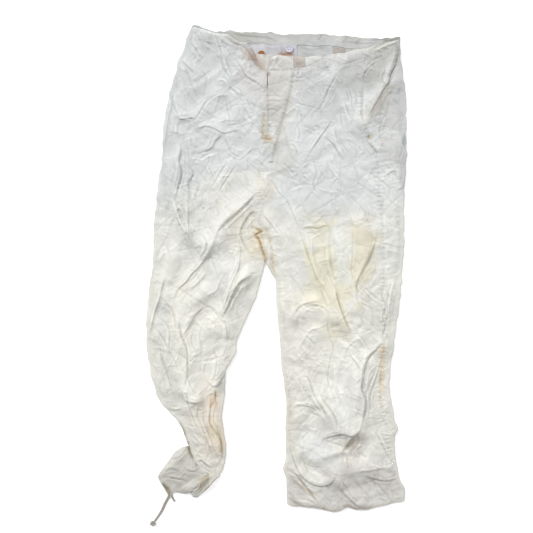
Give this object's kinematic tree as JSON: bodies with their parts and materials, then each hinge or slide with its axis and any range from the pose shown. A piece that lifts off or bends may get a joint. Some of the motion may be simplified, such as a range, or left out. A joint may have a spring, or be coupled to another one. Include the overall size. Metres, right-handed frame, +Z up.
{
  "type": "pair of overtrousers laid flat",
  "caption": "Thin off-white cotton overtrousers laid flat, crumpled and stained, with a button fly, an open hem and a drawstring ankle.",
  "frame": {"origin": "middle of the garment's footprint, on the surface it lies on; the drawstring's free end isn't counted", "axes": "+X towards the wearer's left, +Y towards the waist, +Z up off the surface"},
  "size_m": [0.573, 1.1061, 0.0243],
  "materials": {
    "front_cloth": "matt, crumpled, stained",
    "back_cloth": "matt, crumpled",
    "band_cloth": "matt, stitched",
    "fly_cloth": "matt, creamy, dirt marked",
    "patch_cloth": "matt, rust stained",
    "casing_cloth": "matt, soiled",
    "tape_cloth": "matt, soiled, frayed",
    "white_button": "worn gloss",
    "brown_button": "rusty, worn"
  },
  "bodies": {
    "root": {"front_right": "front_cloth", "front_left": "front_cloth", "back_right": "back_cloth", "back_left": "back_cloth", "fly_overlap": "fly_cloth", "waistband_back": "band_cloth", "waistband_front_right": "band_cloth", "waistband_front_left": "band_cloth", "waistband_underlap": "band_cloth", "fly_underlay": "fly_cloth", "patch_left": "patch_cloth", "patch_right": "patch_cloth", "patch_back": "patch_cloth", "hem_left": "casing_cloth", "cuff_right": "casing_cloth", "ankle_tape": "tape_cloth", "tape_stub": "tape_cloth", "tape_knot": "tape_cloth", "waist_button": "white_button", "fly_button": "brown_button"}
  },
  "joints": []
}
